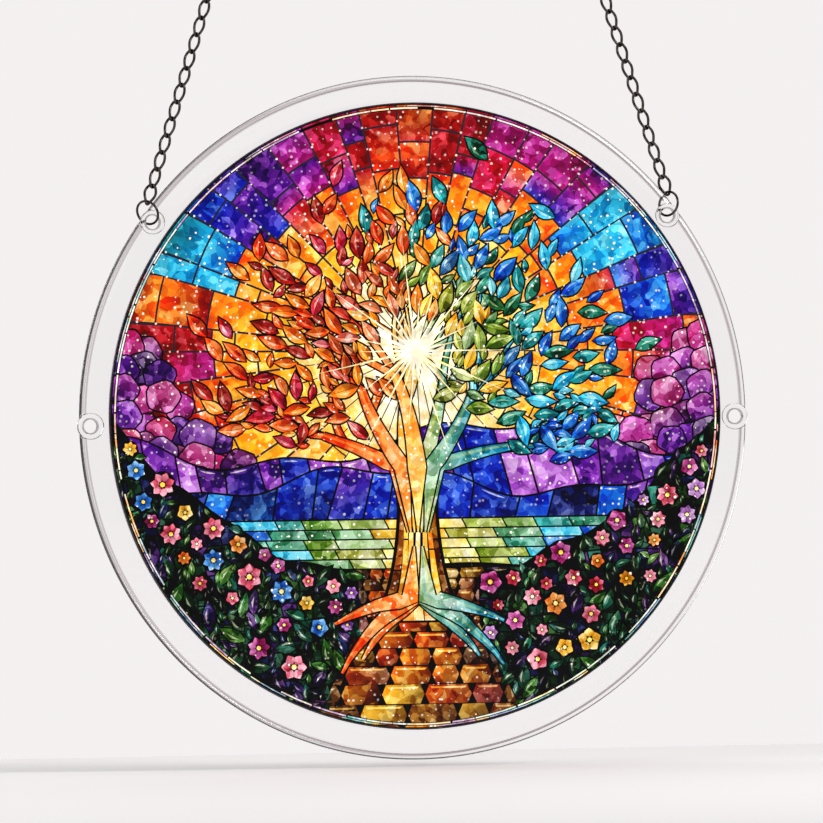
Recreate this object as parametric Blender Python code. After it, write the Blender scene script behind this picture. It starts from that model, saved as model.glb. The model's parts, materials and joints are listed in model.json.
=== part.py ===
"""Acrylic suncatcher: a clear disc that carries a printed disc and hangs from two chain runs.

Metres, +Z up. The discs stand in the XZ plane with their front to -Y. The origin is the inside top of the
hanging ring, where a hook holds it. Named lengths below are in millimetres.
"""

import math

import bmesh
import bpy
from mathutils import Matrix, Vector

MM = 0.001

# Heights below the hook
RING_HOLE_RADIUS = 7.0
RING_WIRE = 1.0
CENTRE_Z = -322.0

# Clear disc
DISC_RADIUS = 100.0
DISC_THICK = 3.0
DISC_EDGE = 1.6
DISC_SIDES = 96
HOLE_RADIUS = 2.0
RIM_WEB = 1.3
LUG_WALL = 1.6
LUG_THICK = 2.2
LUG_BITE = 0.1
LUG_SIDES = 16
HOLE_ANGLES = (-0.6, 37.0, 143.0, 180.6)
CUT_EXTRA = 1.0

# Printed disc on the front of the clear one
CLEAR_BAND = 8.3
PICTURE_THICK = 2.0
PICTURE_EDGE = 0.7
PICTURE_GAP = 0.3
PICTURE_RAISE = 0.5
PICTURE_SIDES = 80

# Jump rings: centre from the middle of the hole, and the direction that the ring faces
JUMP_RADIUS = 3.55
JUMP_WIRE = 0.66
JUMP_LEFT = ((-1.35, -0.03, 2.83), (0.674, 0.661, 0.332))
JUMP_RIGHT = ((0.5, 0.4, 3.4), (0.759, 0.626, -0.177))

# Chain links: they press a little into each other, and keep a gap to the rings
LINK_WIDTH = 3.5
FIRST_LINK_WIDTH = 4.1
LAST_LINK_WIDTH = 4.2
LINK_WIRE = 0.7
LINK_SIDES = 6
LINK_PITCH_AIM = 5.13
LINK_PRESS = 0.08
JUMP_GAP = 0.45
RING_GAP = 0.6
HALF_TWIST = math.radians(-38.0)
RUN_SPREAD = 1.2

# Worked out from the sizes above
HOLE_PATH_RADIUS = DISC_RADIUS - RIM_WEB - HOLE_RADIUS
LUG_RADIUS = HOLE_RADIUS + LUG_WALL
PICTURE_RADIUS = DISC_RADIUS - CLEAR_BAND


def remove_everything():
    for obj in list(bpy.data.objects):
        bpy.data.objects.remove(obj, do_unlink=True)


def mesh_object(name, points, faces):
    """One object from points in millimetres, with its faces turned outward."""
    mesh = bpy.data.meshes.new(name)
    mesh.from_pydata([Vector(point) * MM for point in points], [], faces)
    tidy = bmesh.new()
    tidy.from_mesh(mesh)
    bmesh.ops.recalc_face_normals(tidy, faces=tidy.faces)
    tidy.to_mesh(mesh)
    tidy.free()
    obj = bpy.data.objects.new(name, mesh)
    bpy.context.scene.collection.objects.link(obj)
    return obj


def turned_solid(name, profile, centres, sides):
    """Solids turned about lines along Y, one at each centre, as one object. The profile lists (radius, y)."""
    points = []
    faces = []
    for centre in centres:
        first = len(points)
        for radius, y in profile:
            for step in range(sides):
                angle = math.tau * (step + 0.5) / sides
                x = centre[0] + radius * math.cos(angle)
                points.append((x, y, centre[1] + radius * math.sin(angle)))
        for ring in range(len(profile) - 1):
            low = first + ring * sides
            high = low + sides
            for step in range(sides):
                after = (step + 1) % sides
                faces.append((low + step, low + after, high + after, high + step))
        last = first + (len(profile) - 1) * sides
        faces.append(tuple(first + step for step in range(sides)))
        faces.append(tuple(last + step for step in range(sides)))
    return mesh_object(name, points, faces)


def combine(obj, tool, operation):
    """An exact Boolean of the object with a tool, which is then removed."""
    modifier = obj.modifiers.new("combine", "BOOLEAN")
    modifier.operation = operation
    modifier.solver = "EXACT"
    modifier.object = tool
    graph = bpy.context.evaluated_depsgraph_get()
    result = bpy.data.meshes.new_from_object(obj.evaluated_get(graph))
    obj.modifiers.clear()
    obj.data = result
    bpy.data.objects.remove(tool, do_unlink=True)


def hole_centre(angle):
    turn = math.radians(angle)
    return (
        HOLE_PATH_RADIUS * math.cos(turn),
        CENTRE_Z + HOLE_PATH_RADIUS * math.sin(turn),
    )


def make_clear_disc():
    """The clear disc, with a rounded rim and a thinner round lug about each hole."""
    half = DISC_THICK / 2
    rounded = (
        (DISC_RADIUS - DISC_EDGE, -half),
        (DISC_RADIUS - 0.3 * DISC_EDGE, -0.72 * half),
        (DISC_RADIUS, 0.0),
        (DISC_RADIUS - 0.3 * DISC_EDGE, 0.72 * half),
        (DISC_RADIUS - DISC_EDGE, half),
    )
    disc = turned_solid("clear_disc", rounded, [(0.0, CENTRE_Z)], DISC_SIDES)
    centres = [hole_centre(angle) for angle in HOLE_ANGLES]
    lug = LUG_THICK / 2
    reach = half + CUT_EXTRA
    well_radius = LUG_RADIUS - LUG_BITE
    well = ((well_radius, -reach), (well_radius, reach))
    combine(disc, turned_solid("wells", well, centres, LUG_SIDES), "DIFFERENCE")
    pad = ((LUG_RADIUS, -lug), (LUG_RADIUS, lug))
    combine(disc, turned_solid("pads", pad, centres, LUG_SIDES), "UNION")
    bore = ((HOLE_RADIUS, -reach), (HOLE_RADIUS, reach))
    combine(disc, turned_solid("bores", bore, centres, LUG_SIDES), "DIFFERENCE")
    return disc


def make_picture_disc():
    """The printed disc, with a small bevel on both faces."""
    back = -DISC_THICK / 2 - PICTURE_GAP
    front = back - PICTURE_THICK
    inner = PICTURE_RADIUS - PICTURE_EDGE
    profile = (
        (inner, front),
        (PICTURE_RADIUS, front + 0.5 * PICTURE_EDGE),
        (PICTURE_RADIUS, back - 0.5 * PICTURE_EDGE),
        (inner, back),
    )
    centre = (0.0, CENTRE_Z + PICTURE_RAISE)
    return turned_solid("picture_disc", profile, [centre], PICTURE_SIDES)


def wire_loop(path, normals, wire, sides):
    """Points and faces of a closed wire that follows the path, with a few flat sides.

    Each normal is square to the loop at its point. The section has the area of the round wire.
    """
    count = len(path)
    reach = wire / 2 * math.sqrt(math.tau / sides / math.sin(math.tau / sides))
    points = []
    for step in range(count):
        here = path[step]
        onward = (path[(step + 1) % count] - here).normalized()
        along = (onward + (here - path[step - 1]).normalized()).normalized()
        side = (normals[step] - along * normals[step].dot(along)).normalized()
        out = side.cross(along)
        mitre = 1 / along.dot(onward)
        for corner in range(sides):
            angle = math.tau * (corner + 0.5) / sides
            offset = out * math.cos(angle) * mitre + side * math.sin(angle)
            points.append(here + offset * reach)
    faces = []
    for step in range(count):
        after = (step + 1) % count
        for corner in range(sides):
            beside = (corner + 1) % sides
            faces.append(
                (
                    step * sides + corner,
                    step * sides + beside,
                    after * sides + beside,
                    after * sides + corner,
                )
            )
    return points, faces


def make_ring(name, centre, facing, radius, wire, ring_sides, wire_sides):
    """A round ring about the centre, in the plane square to the facing direction."""
    axis = Vector(facing).normalized()
    across = axis.cross(Vector((0.3, 0.1, 1.0))).normalized()
    up = axis.cross(across)
    path = []
    for step in range(ring_sides):
        angle = math.tau * step / ring_sides
        path.append(Vector(centre) + (across * math.cos(angle) + up * math.sin(angle)) * radius)
    points, faces = wire_loop(path, [axis] * ring_sides, wire, wire_sides)
    return mesh_object(name, points, faces)


def jump_ring_centre(angle, place):
    x, z = hole_centre(angle)
    return Vector((x, 0.0, z)) + Vector(place[0])


def make_jump_ring(name, angle, place):
    centre = jump_ring_centre(angle, place)
    return make_ring(name, centre, place[1], JUMP_RADIUS, JUMP_WIRE, 20, 6)


def make_hanging_ring():
    centre = (0.0, 0.0, -RING_HOLE_RADIUS)
    radius = RING_HOLE_RADIUS + RING_WIRE / 2
    return make_ring("hanging_ring", centre, (0.0, 1.0, 0.0), radius, RING_WIRE, 24, 8)


def flat_reach(wire):
    """How far the flat face of a square wire lies from its middle, for the area of the round wire."""
    return wire / 4 * math.sqrt(math.pi)


def link_loop(middle, half_length, width, start_turn, end_turn):
    """Path and normals of one link: a long hexagon along Z, twisted from its lower to its upper end."""
    half_width = (width - LINK_WIRE) / 2
    side = math.tau / LINK_SIDES
    path = []
    normals = []
    for step in range(LINK_SIDES):
        angle = side * (step + 0.5)
        along = -half_length * math.cos(angle) / math.cos(side / 2)
        across = half_width * math.sin(angle)
        share = 0.5 + 0.5 * along / half_length
        twist = start_turn + (end_turn - start_turn) * share
        path.append(Vector((across * math.cos(twist), across * math.sin(twist), middle + along)))
        normals.append(Vector((-math.sin(twist), math.cos(twist), 0.0)))
    return path, normals


def links_mesh(name, loops, frame):
    """One object that holds the wires of several links, placed by the frame."""
    turn = frame.to_3x3()
    points = []
    faces = []
    for path, normals in loops:
        placed = [frame @ point for point in path]
        turned = [turn @ normal for normal in normals]
        wire_points, wire_faces = wire_loop(placed, turned, LINK_WIRE, 4)
        offset = len(points)
        points.extend(wire_points)
        faces.extend(tuple(index + offset for index in face) for face in wire_faces)
    return mesh_object(name, points, faces)


def run_frame(low, high):
    """Axes of a chain run: Z along it, X across it in the plane of the discs, and its length."""
    along = (high - low).normalized()
    back = Vector((0.0, 1.0, 0.0))
    across = back.cross(along).normalized()
    behind = along.cross(across)
    rotation = Matrix((across, behind, along)).transposed().to_4x4()
    return Matrix.Translation(low) @ rotation, (high - low).length


def jump_ring_grip(angle, place, goal):
    """Where the ring's wire is pulled toward the goal, and the direction of the wire there."""
    centre = jump_ring_centre(angle, place)
    axis = Vector(place[1]).normalized()
    pull = (goal - centre).normalized()
    reach = (pull - axis * pull.dot(axis)).normalized()
    return centre + reach * JUMP_RADIUS, axis.cross(reach)


def make_chain_run(name, angle, place, side):
    """A run of fused links from a jump ring up to the hanging ring. Side is -1 for the left run."""
    ring_bottom = -2 * RING_HOLE_RADIUS - RING_WIRE / 2
    over_ring = (RING_WIRE + LINK_WIRE) / 2 + RING_GAP
    high = Vector((side * RUN_SPREAD, 0.0, ring_bottom + over_ring))
    grip, wire = jump_ring_grip(angle, place, high)
    low = grip - (high - grip).normalized() * ((JUMP_WIRE + LINK_WIRE) / 2 + JUMP_GAP)
    frame, length = run_frame(low, high)
    hook = 2 * flat_reach(LINK_WIRE) - LINK_PRESS
    count = round((length - hook) / LINK_PITCH_AIM)
    pitch = (length - hook) / count
    half_length = (pitch + hook) / 2
    eye = frame.to_3x3().transposed() @ wire
    first_turn = math.remainder(math.atan2(eye.x, -eye.y) + HALF_TWIST, math.pi) - HALF_TWIST
    widths = {0: FIRST_LINK_WIDTH, count - 1: LAST_LINK_WIDTH}
    even = []
    odd = []
    for number in range(count):
        start = first_turn if number == 0 else -HALF_TWIST
        end = math.radians(90.0) if number == count - 1 else HALF_TWIST
        width = widths.get(number, LINK_WIDTH)
        middle = half_length + number * pitch
        loop = link_loop(middle, half_length, width, start, end)
        (odd if number % 2 else even).append(loop)
    run = links_mesh(name, even, frame)
    combine(run, links_mesh("others", odd, frame), "UNION")
    return run


remove_everything()
make_clear_disc()
make_picture_disc()
make_jump_ring("jump_ring_left", HOLE_ANGLES[2], JUMP_LEFT)
make_jump_ring("jump_ring_right", HOLE_ANGLES[1], JUMP_RIGHT)
make_chain_run("chain_left", HOLE_ANGLES[2], JUMP_LEFT, -1)
make_chain_run("chain_right", HOLE_ANGLES[1], JUMP_RIGHT, 1)
make_hanging_ring()
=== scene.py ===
"""Looks of the acrylic suncatcher: clear disc, printed disc, rings and chains, on a plain pale set.

Metres, +Z up, front to -Y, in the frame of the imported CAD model. The printed design is drawn in millimetres
about the middle of its disc: u to the right and v up, as seen from the front.
"""

import json
import random
from math import atan2, ceil, copysign, cos, degrees, exp, hypot, pi, radians, remainder, sin, sqrt, tau

import bmesh
import bpy
from mathutils import Matrix, Vector

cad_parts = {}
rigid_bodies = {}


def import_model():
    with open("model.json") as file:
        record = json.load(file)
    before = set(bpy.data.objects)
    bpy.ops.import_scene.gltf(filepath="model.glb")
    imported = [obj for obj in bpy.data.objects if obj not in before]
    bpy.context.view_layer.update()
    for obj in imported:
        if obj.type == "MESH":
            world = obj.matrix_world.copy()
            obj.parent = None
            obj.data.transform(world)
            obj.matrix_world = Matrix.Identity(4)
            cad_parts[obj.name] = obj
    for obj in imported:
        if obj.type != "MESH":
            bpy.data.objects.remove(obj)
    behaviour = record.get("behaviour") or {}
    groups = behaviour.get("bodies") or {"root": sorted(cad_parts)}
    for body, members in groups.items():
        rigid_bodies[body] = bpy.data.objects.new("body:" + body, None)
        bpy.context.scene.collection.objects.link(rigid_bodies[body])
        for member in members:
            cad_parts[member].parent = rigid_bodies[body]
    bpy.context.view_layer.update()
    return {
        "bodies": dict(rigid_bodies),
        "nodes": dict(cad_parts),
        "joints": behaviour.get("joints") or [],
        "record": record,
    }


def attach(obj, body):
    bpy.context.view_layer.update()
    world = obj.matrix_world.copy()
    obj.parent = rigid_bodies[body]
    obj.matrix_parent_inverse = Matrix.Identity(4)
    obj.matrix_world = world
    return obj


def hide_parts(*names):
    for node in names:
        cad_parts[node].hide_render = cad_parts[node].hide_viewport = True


MM = 0.001

# Sizes shared with the CAD model, in millimetres
CENTRE_Z = -322.0
DISC_RADIUS = 100.0
DISC_THICK = 3.0
HOLE_RADIUS = 2.0
HOLE_PATH_RADIUS = 96.7
LUG_RADIUS = 3.6
SIDE_LUG_RADIUS = 3.95
EDGE_LINE = (1.85, 1.3)
LUG_THICK = 2.2
UPPER_RIGHT = 37.0
UPPER_LEFT = 143.0
HOLE_ANGLES = (-0.6, UPPER_RIGHT, UPPER_LEFT, 180.6)
PICTURE_RADIUS = 91.7
PICTURE_THICK = 2.0
PICTURE_GAP = 0.3
PICTURE_RAISE = 0.5
JUMP_RADIUS = 3.55
JUMP_WIRE = 0.72
JUMP_RINGS = {
    "left": (UPPER_LEFT, (-1.35, -0.03, 2.83), (0.674, 0.661, 0.332)),
    "right": (UPPER_RIGHT, (0.5, 0.4, 3.4), (0.759, 0.626, -0.177)),
}
RING_HOLE_RADIUS = 7.0
RING_WIRE = 1.0
LINK_WIDTH = 3.5
FIRST_LINK_WIDTH = 4.1
LAST_LINK_WIDTH = 4.2
LINK_WIRE = 0.8
LINK_PITCH_AIM = 5.13
JUMP_GAP = 0.1
RING_GAP = 0.1
HALF_TWIST = radians(-38.0)
RUN_SPREAD = 1.2

SLOTS = {"clear_disc_clear": "clear_acrylic", "picture_disc_print": "printed_acrylic"}

# Set: the table's near, far and side edges, its thickness, and the wall
TABLE_DROP = 2.0
TABLE_NEAR = -2500.0
TABLE_FAR = 260.0
TABLE_REACH = 900.0
TABLE_THICK = 25.0
WALL_Y = 20000.0
WALL_REACH = 16000.0

# Camera: the distance in metres, and the photo's pixels
CAMERA_DISTANCE = 6.0
SENSOR = 36.0
CAMERA_YAW = radians(-13.0)
CAMERA_ROLL = radians(0.9)
PIXELS = 823.0
MM_PER_PIXEL = 0.2924
DISC_PIXEL = (413.4, 417.75)


def at(place, distance, angle):
    """The point at a distance and in a direction from a place."""
    return (place[0] + distance * cos(angle), place[1] + distance * sin(angle))


def turns(count, shift=0.0):
    """Angles all the way round in equal steps."""
    return [tau * (step + shift) / count for step in range(count)]


def in_scene(name, data):
    obj = bpy.data.objects.new(name, data)
    bpy.context.scene.collection.objects.link(obj)
    return obj


def new_object(name, points, faces):
    """An object from points in millimetres."""
    mesh = bpy.data.meshes.new(name)
    mesh.from_pydata([Vector(point) * MM for point in points], [], faces)
    tidy = bmesh.new()
    tidy.from_mesh(mesh)
    bmesh.ops.recalc_face_normals(tidy, faces=tidy.faces)
    tidy.to_mesh(mesh)
    tidy.free()
    obj = in_scene(name, mesh)
    smooth(obj, 40.0)
    return obj


def smooth(obj, angle):
    """Smooth shading, except across edges sharper than the angle."""
    obj.data.shade_smooth()
    obj.data.set_sharp_from_angle(angle=radians(angle))


def band_faces(rings, sides, first=0, closed=False):
    """Faces between rings of points that follow one another, from the first point's number on."""
    faces = []
    for ring in range(rings if closed else rings - 1):
        low = first + ring * sides
        high = first + (ring + 1) % rings * sides
        for step in range(sides):
            after = (step + 1) % sides
            faces.append((low + step, low + after, high + after, high + step))
    return faces


# Materials


class Look:
    """A material, with short calls that add and link its nodes."""

    def __init__(self, name):
        self.material = bpy.data.materials.new(name)
        self.material.use_nodes = True
        self.nodes = self.material.node_tree.nodes
        self.shader = self.nodes["Principled BSDF"]

    def fill(self, node, values):
        """Sets a node's inputs: a socket is linked, and any other value is the input's own."""
        for name, value in values.items():
            if isinstance(value, bpy.types.NodeSocket):
                self.material.node_tree.links.new(value, node.inputs[name])
            else:
                node.inputs[name].default_value = value
        return node

    def add(self, kind, values):
        return self.fill(self.nodes.new("ShaderNode" + kind), values)

    def math(self, operation, first, second):
        node = self.nodes.new("ShaderNodeMath")
        node.operation = operation
        return self.fill(node, {0: first, 1: second}).outputs["Value"]

    def place(self):
        """The place on the object, in metres."""
        return self.nodes.new("ShaderNodeTexCoord").outputs["Object"]


def clear_acrylic(name, tint, rough):
    look = Look(name)
    settings = {"Base Color": (*tint, 1.0), "Roughness": rough, "IOR": 1.49, "Transmission Weight": 1.0}
    look.fill(look.shader, settings)
    return look.material


def speckled(name, scale, detail, dark, light):
    """A look whose tone runs between two colours with a fine noise, and that noise."""
    look = Look(name)
    grain = look.add("TexNoise", {"Vector": look.place(), "Scale": scale, "Detail": detail}).outputs["Fac"]
    tone = look.add("ValToRGB", {"Fac": grain})
    for element, (position, color) in zip(tone.color_ramp.elements, (dark, light)):
        element.position = position
        element.color = (*color, 1.0)
    look.fill(look.shader, {"Base Color": tone.outputs["Color"]})
    return look, grain


def dark_metal():
    """Black nickel plate: dark, glossy, with faint wear in lighter and rougher patches."""
    plain, worn = (0.35, (0.03, 0.025, 0.023)), (0.8, (0.13, 0.115, 0.105))
    look, grain = speckled("dark_metal", 900.0, 3.0, plain, worn)
    rough = look.add("MapRange", {"Value": grain, "To Min": 0.15, "To Max": 0.4})
    look.fill(look.shader, {"Metallic": 1.0, "Roughness": rough.outputs["Result"]})
    return look.material


# Clear disc


def turned(name, profile, centres, sides):
    """Closed solids turned about lines along Y. The profile lists (radius, y) from front to back."""
    points = []
    faces = []
    for centre in centres:
        first = len(points)
        for radius, y in profile:
            for angle in turns(sides, 0.5):
                x, z = at(centre, radius, angle)
                points.append((x, y, z))
        faces += band_faces(len(profile), sides, first)
        faces += [tuple(range(first, first + sides)), tuple(range(len(points) - sides, len(points)))]
    return new_object(name, points, faces)


def combine(obj, tool, operation):
    modifier = obj.modifiers.new("combine", "BOOLEAN")
    modifier.operation = operation
    modifier.solver = "EXACT"
    modifier.object = tool
    graph = bpy.context.evaluated_depsgraph_get()
    result = bpy.data.meshes.new_from_object(obj.evaluated_get(graph))
    obj.modifiers.clear()
    obj.data = result
    bpy.data.objects.remove(tool, do_unlink=True)


def hole_centre(angle):
    return at((0.0, CENTRE_Z), HOLE_PATH_RADIUS, radians(angle))


def rounded_edge(radius, half, edge, steps):
    """Profile of a round edge, from the front face to the back face."""
    angles = [pi * (step / steps - 0.5) for step in range(steps + 1)]
    return [(radius - edge + edge * cos(angle), half * sin(angle)) for angle in angles]


def disc_edge_profile():
    """The clear disc's edge: a narrow bevel where the polish begins, a broad one and a steep rim."""
    half = DISC_THICK / 2
    bevels = ((EDGE_LINE[0], 0.0), (EDGE_LINE[1], 0.07), (0.95, 0.18), (0.6, 0.36), (0.25, 0.7), (0.05, 1.15))
    front = [(DISC_RADIUS - inset, depth - half) for inset, depth in bevels]
    return front + [(radius, -y) for radius, y in front[::-1]]


def glass_kind(polygon, centres):
    """3 where the bevel begins, 2 on the walls of the holes, 1 on other steep faces, 0 elsewhere. Kinds 1 to
    3 take darker glass, painted shade for the dark lines of the edge and the dark walls of the holes.
    """
    x, z = polygon.center.x / MM, polygon.center.z / MM
    from_hole = min(hypot(x - cx, z - cz) for cx, cz in centres)
    if abs(polygon.normal.y) < 0.8:
        return 2 if from_hole < HOLE_RADIUS + 0.5 else 1
    depth = DISC_RADIUS - hypot(x, z - CENTRE_Z)
    return 3 if from_hole > SIDE_LUG_RADIUS and EDGE_LINE[1] < depth < EDGE_LINE[0] else 0


def make_clear_disc(glasses):
    disc = turned("clear_disc_clear", disc_edge_profile(), [(0.0, CENTRE_Z)], 288)
    centres = [hole_centre(angle) for angle in HOLE_ANGLES]
    reach = DISC_THICK / 2 + 1.0
    for radius, places in ((SIDE_LUG_RADIUS, centres[::3]), (LUG_RADIUS, centres[1:3])):
        well = [(radius - 0.1, -reach), (radius - 0.1, reach)]
        combine(disc, turned("wells", well, places, 48), "DIFFERENCE")
        pad = rounded_edge(radius, LUG_THICK / 2, 0.5, 6)
        combine(disc, turned("pads", pad, places, 48), "UNION")
    funnel = LUG_THICK / 2 - 0.4
    back = [(HOLE_RADIUS, funnel), (HOLE_RADIUS + 2.0, funnel + 2.0)]
    bore = [(radius, -y) for radius, y in back[::-1]] + back
    combine(disc, turned("bores", bore, centres, 48), "DIFFERENCE")
    smooth(disc, 30.0)
    disc.data.materials.clear()
    for glass in glasses:
        disc.data.materials.append(glass)
    # Steep faces, hole walls and the bevel's first line get darker glass: painted shade, not a tint of the
    # acrylic.
    for polygon in disc.data.polygons:
        polygon.material_index = glass_kind(polygon, centres)
    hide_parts("clear_disc")
    return disc


# Rings and chains


def tube(path, normals, wire, sides):
    """Points of a closed round wire along the path. Each normal is square to the loop there."""
    count = len(path)
    points = []
    for step in range(count):
        along = (path[(step + 1) % count] - path[step - 1]).normalized()
        side = (normals[step] - along * normals[step].dot(along)).normalized()
        out = side.cross(along)
        for angle in turns(sides):
            points.append(path[step] + (out * cos(angle) + side * sin(angle)) * (wire / 2))
    return points


def make_ring(name, node, centre, facing, radius, wire, metal):
    axis = Vector(facing).normalized()
    across = axis.cross(Vector((0.3, 0.1, 1.0))).normalized()
    up = axis.cross(across)
    path = []
    for angle in turns(72):
        path.append(Vector(centre) + (across * cos(angle) + up * sin(angle)) * radius)
    sides = 16
    points = tube(path, [axis] * len(path), wire, sides)
    ring = new_object(name, points, band_faces(len(path), sides, closed=True))
    ring.data.materials.append(metal)
    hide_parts(node)
    return ring


def jump_ring_centre(side):
    angle, offset, _ = JUMP_RINGS[side]
    x, z = hole_centre(angle)
    return Vector((x, 0.0, z)) + Vector(offset)


def make_jump_ring(side, metal):
    node = f"jump_ring_{side}"
    facing = JUMP_RINGS[side][2]
    return make_ring(f"{node}_wire", node, jump_ring_centre(side), facing, JUMP_RADIUS, JUMP_WIRE, metal)


def link_loop(middle, half_length, width, start_turn, end_turn):
    """Path and normals of one oval link along Z, twisted from its lower to its upper end."""
    half_width = (width - LINK_WIRE) / 2
    path = []
    normals = []
    for angle in turns(40):
        along = -half_length * cos(angle)
        across = half_width * copysign(abs(sin(angle)) ** 0.86, sin(angle))
        share = 0.5 + 0.5 * along / half_length
        eased = share * share * (3.0 - 2.0 * share)
        twist = start_turn + (end_turn - start_turn) * eased
        path.append(Vector((across * cos(twist), across * sin(twist), middle + along)))
        normals.append(Vector((-sin(twist), cos(twist), 0.0)))
    return path, normals


def run_frame(low, high):
    along = (high - low).normalized()
    across = Vector((0.0, 1.0, 0.0)).cross(along).normalized()
    behind = along.cross(across)
    rotation = Matrix((across, behind, along)).transposed().to_4x4()
    return Matrix.Translation(low) @ rotation, (high - low).length


def make_chain_run(side, metal):
    """One chain run as it hangs. Each link is its own closed loop, and they meet end to end."""
    ring_bottom = -2 * RING_HOLE_RADIUS - RING_WIRE / 2
    over_ring = (RING_WIRE + LINK_WIRE) / 2 + RING_GAP
    beside = RUN_SPREAD if side == "right" else -RUN_SPREAD
    high = Vector((beside, 0.0, ring_bottom + over_ring))
    centre = jump_ring_centre(side)
    axis = Vector(JUMP_RINGS[side][2]).normalized()
    pull = (high - centre).normalized()
    reach = (pull - axis * pull.dot(axis)).normalized()
    grip = centre + reach * JUMP_RADIUS
    low = grip - (high - grip).normalized() * ((JUMP_WIRE + LINK_WIRE) / 2 + JUMP_GAP)
    frame, length = run_frame(low, high)
    turn = frame.to_3x3()
    hook = LINK_WIRE
    count = round((length - hook) / LINK_PITCH_AIM)
    pitch = (length - hook) / count
    half_length = (pitch + hook) / 2
    eye = turn.transposed() @ axis.cross(reach)
    first_turn = remainder(atan2(eye.x, -eye.y) + HALF_TWIST, pi) - HALF_TWIST
    sides = 12
    points = []
    faces = []
    for number in range(count):
        start = first_turn if number == 0 else -HALF_TWIST
        end = radians(90.0) if number == count - 1 else HALF_TWIST
        width = {0: FIRST_LINK_WIDTH, count - 1: LAST_LINK_WIDTH}.get(number, LINK_WIDTH)
        path, normals = link_loop(half_length + number * pitch, half_length, width, start, end)
        placed = [frame @ point for point in path]
        faces += band_faces(len(path), sides, len(points), closed=True)
        points += tube(placed, [turn @ normal for normal in normals], LINK_WIRE, sides)
    node = f"chain_{side}"
    run = new_object(f"{node}_links", points, faces)
    run.data.materials.append(metal)
    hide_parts(node)
    return run


# Printed design: colours, given as the eye sees them from 0 to 255

GLOW = (255, 250, 226)
CREAM = (255, 226, 128)
GOLD = (250, 186, 44)
ORANGE = (242, 122, 24)
FLAME = (226, 72, 18)
RUBY = (160, 16, 22)
CRIMSON = (192, 22, 62)
MAGENTA = (176, 34, 128)
VIOLET = (104, 32, 152)
PURPLE = (62, 20, 104)
COBALT = (24, 52, 176)
BLUE = (22, 106, 208)
CYAN = (52, 182, 220)
TEAL = (12, 138, 142)
PETROL = (8, 132, 176)
JADE = (18, 112, 84)
GRASS = (62, 132, 40)
PINE = (16, 58, 32)
NAVY = (16, 22, 78)
BROWN = (118, 64, 22)
UMBER = (62, 32, 14)
PEACH = (252, 178, 118)
PINK = (238, 108, 142)
LILAC = (184, 118, 206)

LEAD = 0.6
PRINT_RADIUS = PICTURE_RADIUS - 0.35
LAYER = 0.004
FIELD = 96.0
BAND_REACH = 95.0


def linear(color):
    """The colour as the shader wants it."""
    return tuple((channel / 255.0) ** 2.2 for channel in color)


def mix(a, b, share):
    return tuple(x + (y - x) * share for x, y in zip(a, b))


def shade(color, share):
    return tuple(channel * share for channel in color)


def moved(points, angle, place):
    """Points turned by the angle and moved to the place."""
    c, s = cos(angle), sin(angle)
    return [(x * c - y * s + place[0], x * s + y * c + place[1]) for x, y in points]


def signed_area(points):
    """Twice the area of an outline, negative if it runs clockwise."""
    return sum(points[i - 1][0] * points[i][1] - points[i][0] * points[i - 1][1] for i in range(len(points)))


def grown(points, distance):
    """A closed outline moved outward, or inward if the distance is negative."""
    outward = distance if signed_area(points) > 0 else -distance
    result = []
    for i, (x, y) in enumerate(points):
        before, after = points[i - 1], points[(i + 1) % len(points)]
        a_length = hypot(x - before[0], y - before[1]) or 1.0
        b_length = hypot(after[0] - x, after[1] - y) or 1.0
        nx = (y - before[1]) / a_length + (after[1] - y) / b_length
        ny = (before[0] - x) / a_length + (x - after[0]) / b_length
        size = hypot(nx, ny) or 1.0
        reach = outward * min(2.0 / size, 2.2)
        result.append((x + reach * nx / size, y + reach * ny / size))
    return result


CELL = 0.5


def covered_cells(outline):
    """The cells of a fine grid that an outline touches or holds."""
    cells = set()
    crossings = {}
    for i in range(len(outline)):
        (x0, y0), (x1, y1) = outline[i - 1], outline[i]
        steps = int(hypot(x1 - x0, y1 - y0) / CELL * 2) + 1
        for step in range(steps + 1):
            x = x0 + (x1 - x0) * step / steps
            y = y0 + (y1 - y0) * step / steps
            cells.add((int(x // CELL), int(y // CELL)))
        low, high = sorted((y0, y1))
        for row in range(ceil(low / CELL - 0.5), ceil(high / CELL - 0.5)):
            share = ((row + 0.5) * CELL - y0) / (y1 - y0)
            crossings.setdefault(row, []).append(x0 + (x1 - x0) * share)
    for row, places in crossings.items():
        places.sort()
        for start, end in zip(places[::2], places[1::2]):
            cells.update((column, row) for column in range(int(start // CELL), int(end // CELL) + 1))
    return cells


class Design:
    """Outlines in painting order, each with its colours. Later ones cover earlier ones."""

    def __init__(self, seed):
        self.shapes = []
        self.sheet = 0
        self.random = random.Random(seed)

    def add(self, points, color, end_color=None, axis=None):
        """A pane. With an end colour, it fades along the axis, given as two points."""
        self.shapes.append((points, color, end_color or color, axis, self.sheet))

    def lead(self, points):
        self.add(points, None)

    def next_sheet(self):
        """What follows lies over all that was drawn before."""
        self.sheet += 1

    def add_over(self, panes):
        """Adds panes on a new sheet."""
        self.next_sheet()
        for pane in panes:
            self.add(*pane)

    def lead_over(self, outlines):
        self.add_over([(outline, None) for outline in outlines])

    def claim(self, outline, taken):
        """Takes the outline's cells if none is taken."""
        cells = covered_cells(outline)
        if cells & taken:
            return False
        taken |= cells
        return True

    def spread(self, low, high):
        return self.random.uniform(low, high)

    def pick(self, colors):
        return self.random.choice(colors)


def leaf_outline(length, width, bend=0.0):
    """A pointed leaf from (0, 0) along +x."""
    steps = 6
    upper = []
    lower = []
    for step in range(steps + 1):
        share = step / steps
        half = width / 2 * sin(pi * share**0.85)
        middle = bend * sin(pi * share)
        upper.append((length * share, middle + half))
        lower.append((length * share, middle - half))
    return lower + upper[-2:0:-1]


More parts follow.
